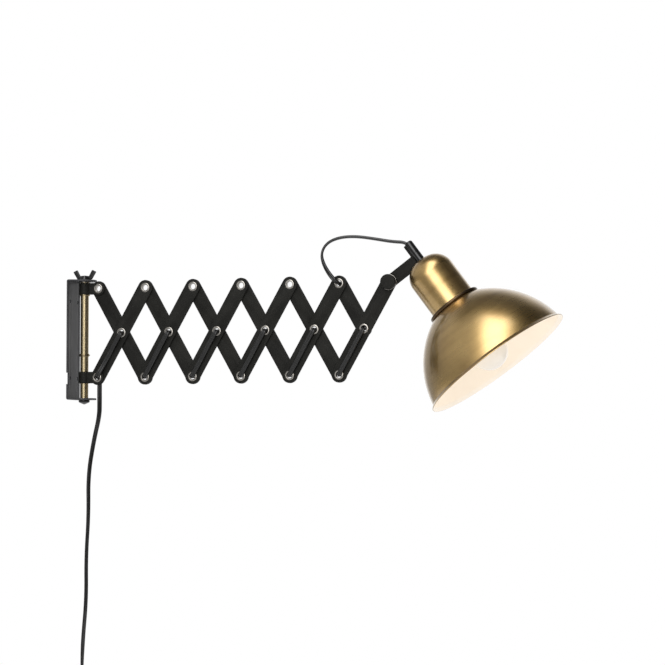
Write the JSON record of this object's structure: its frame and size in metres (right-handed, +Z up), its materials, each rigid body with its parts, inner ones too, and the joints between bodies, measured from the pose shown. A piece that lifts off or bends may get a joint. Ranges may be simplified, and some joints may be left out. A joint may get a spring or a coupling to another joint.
{
  "type": "accordion wall lamp",
  "caption": "Wall lamp on an accordion scissor arm: steel bracket with a swivel tube, riveted links with laced cord, and a tilting brushed brass shade.",
  "frame": {"origin": "on the wall, at the centre of the bracket plate's back face", "axes": "+X out of the wall along the arm, +Y to the arm's back side, +Z up"},
  "size_m": [0.6062, 0.1872, 0.6509],
  "materials": {
    "bracket_grey": "satin dark grey powder coat",
    "arm_black": "fine-textured black powder coat",
    "gloss_black": "glossy black enamel",
    "brass_rod": "polished brass tube, aged at the edges",
    "dark_ring": "dark bronzed rim",
    "nickel": "bright nickel plate",
    "steel": "zinc-plated steel",
    "cord_black": "black PVC flex",
    "tie_black": "black tie strap",
    "plug_black": "moulded black plastic",
    "holder_plastic": "white thermoplastic",
    "opal_glass": "opal white glass",
    "shade_metal": "steel sheet, brushed antique brass outside, cream enamel inside"
  },
  "bodies": {
    "bracket": {"wall_bracket": "bracket_grey", "swivel_tube": "brass_rod", "through_bolt": "gloss_black", "stop_ring": "brass_rod", "rest_ring": "brass_rod", "top_washer": "nickel"},
    "wing_nut": {"wing_nut": "gloss_black"},
    "upper_clamp": {"upper_clamp": "arm_black", "upper_eyelet": "nickel"},
    "lower_clamp": {"lower_clamp": "arm_black", "lower_eyelet": "nickel", "supply_lead": "cord_black", "lead_coil": "cord_black", "coil_tie": "tie_black", "plug": "plug_black", "plug_pins": "nickel"},
    "front_link_1": {"front_link_1": "arm_black", "link_eyelets_1": "nickel", "front_cord_1": "cord_black"},
    "back_link_1": {"back_link_1": "arm_black", "back_cord_1": "cord_black"},
    "front_link_2": {"front_link_2": "arm_black", "link_eyelets_2": "nickel", "front_cord_2": "cord_black"},
    "back_link_2": {"back_link_2": "arm_black", "back_cord_2": "cord_black"},
    "front_link_3": {"front_link_3": "arm_black", "link_eyelets_3": "nickel", "front_cord_3": "cord_black"},
    "back_link_3": {"back_link_3": "arm_black", "back_cord_3": "cord_black"},
    "front_link_4": {"front_link_4": "arm_black", "link_eyelets_4": "nickel", "front_cord_4": "cord_black"},
    "back_link_4": {"back_link_4": "arm_black", "back_cord_4": "cord_black"},
    "front_link_5": {"front_link_5": "arm_black", "link_eyelets_5": "nickel", "front_cord_5": "cord_black"},
    "back_link_5": {"back_link_5": "arm_black", "back_cord_5": "cord_black"},
    "front_link_6": {"front_link_6": "arm_black", "link_eyelets_6": "nickel", "front_cord_6": "cord_black", "loop_cord": "cord_black"},
    "half_link": {"half_link": "arm_black", "half_link_cord": "cord_black"},
    "head": {"head_arm": "arm_black", "joint_cap": "arm_black", "joint_washer": "nickel", "joint_nut": "steel", "stem_tube": "gloss_black", "stem_nut": "steel", "socket_cup": "shade_metal", "collar_ring": "dark_ring", "shade": "shade_metal", "lampholder": "holder_plastic", "shade_ring": "holder_plastic", "bulb_glass": "opal_glass", "bulb_base": "nickel"}
  },
  "joints": [
    {"name": "wing_nut_turn", "type": "hinge", "parent": "bracket", "child": "wing_nut", "pos_m": [0.0158, 0, 0.0735], "axis": [0, 0, 1], "continuous": true},
    {"name": "arm_swivel", "type": "hinge", "parent": "bracket", "child": "upper_clamp", "pos_m": [0.0158, 0, 0], "axis": [0, 0, 1], "range_deg": [-65, 65]},
    {"name": "arm_fold", "type": "hinge", "parent": "upper_clamp", "child": "back_link_1", "pos_m": [0.034, 0, 0.0628], "axis": [0, -1, 0], "range_deg": [-20, 14]},
    {"name": "lower_clamp_pivot", "type": "hinge", "parent": "front_link_1", "child": "lower_clamp", "pos_m": [0.034, 0, -0.04621], "axis": [0, -1, 0], "range_deg": [-20, 14]},
    {"name": "crossing_1", "type": "hinge", "parent": "back_link_1", "child": "front_link_1", "pos_m": [0.06459, 0, 0.0083], "axis": [0, -1, 0], "range_deg": [-28, 40]},
    {"name": "top_pivot_1", "type": "hinge", "parent": "front_link_1", "child": "back_link_2", "pos_m": [0.09517, 0, 0.0628], "axis": [0, -1, 0], "range_deg": [-40, 28]},
    {"name": "crossing_2", "type": "hinge", "parent": "back_link_2", "child": "front_link_2", "pos_m": [0.12576, 0, 0.0083], "axis": [0, -1, 0], "range_deg": [-28, 40]},
    {"name": "top_pivot_2", "type": "hinge", "parent": "front_link_2", "child": "back_link_3", "pos_m": [0.15635, 0, 0.0628], "axis": [0, -1, 0], "range_deg": [-40, 28]},
    {"name": "crossing_3", "type": "hinge", "parent": "back_link_3", "child": "front_link_3", "pos_m": [0.18693, 0, 0.0083], "axis": [0, -1, 0], "range_deg": [-28, 40]},
    {"name": "top_pivot_3", "type": "hinge", "parent": "front_link_3", "child": "back_link_4", "pos_m": [0.21752, 0, 0.0628], "axis": [0, -1, 0], "range_deg": [-40, 28]},
    {"name": "crossing_4", "type": "hinge", "parent": "back_link_4", "child": "front_link_4", "pos_m": [0.2481, 0, 0.0083], "axis": [0, -1, 0], "range_deg": [-28, 40]},
    {"name": "top_pivot_4", "type": "hinge", "parent": "front_link_4", "child": "back_link_5", "pos_m": [0.27869, 0, 0.0628], "axis": [0, -1, 0], "range_deg": [-40, 28]},
    {"name": "crossing_5", "type": "hinge", "parent": "back_link_5", "child": "front_link_5", "pos_m": [0.30928, 0, 0.0083], "axis": [0, -1, 0], "range_deg": [-28, 40]},
    {"name": "top_pivot_5", "type": "hinge", "parent": "front_link_5", "child": "half_link", "pos_m": [0.33986, 0, 0.0628], "axis": [0, -1, 0], "range_deg": [-40, 28]},
    {"name": "crossing_6", "type": "hinge", "parent": "half_link", "child": "front_link_6", "pos_m": [0.37045, 0, 0.0083], "axis": [0, -1, 0], "range_deg": [-28, 40]},
    {"name": "head_tilt", "type": "hinge", "parent": "front_link_6", "child": "head", "pos_m": [0.40104, 0, 0.0628], "axis": [0, -1, 0], "range_deg": [-40, 60], "deforming": ["loop_cord"]}
  ],
  "couplings": [
    {"joint": "lower_clamp_pivot", "follows": "arm_fold", "ratio": 1},
    {"joint": "crossing_1", "follows": "arm_fold", "ratio": -2},
    {"joint": "top_pivot_1", "follows": "arm_fold", "ratio": 2},
    {"joint": "crossing_2", "follows": "arm_fold", "ratio": -2},
    {"joint": "top_pivot_2", "follows": "arm_fold", "ratio": 2},
    {"joint": "crossing_3", "follows": "arm_fold", "ratio": -2},
    {"joint": "top_pivot_3", "follows": "arm_fold", "ratio": 2},
    {"joint": "crossing_4", "follows": "arm_fold", "ratio": -2},
    {"joint": "top_pivot_4", "follows": "arm_fold", "ratio": 2},
    {"joint": "crossing_5", "follows": "arm_fold", "ratio": -2},
    {"joint": "top_pivot_5", "follows": "arm_fold", "ratio": 2},
    {"joint": "crossing_6", "follows": "arm_fold", "ratio": -2}
  ]
}
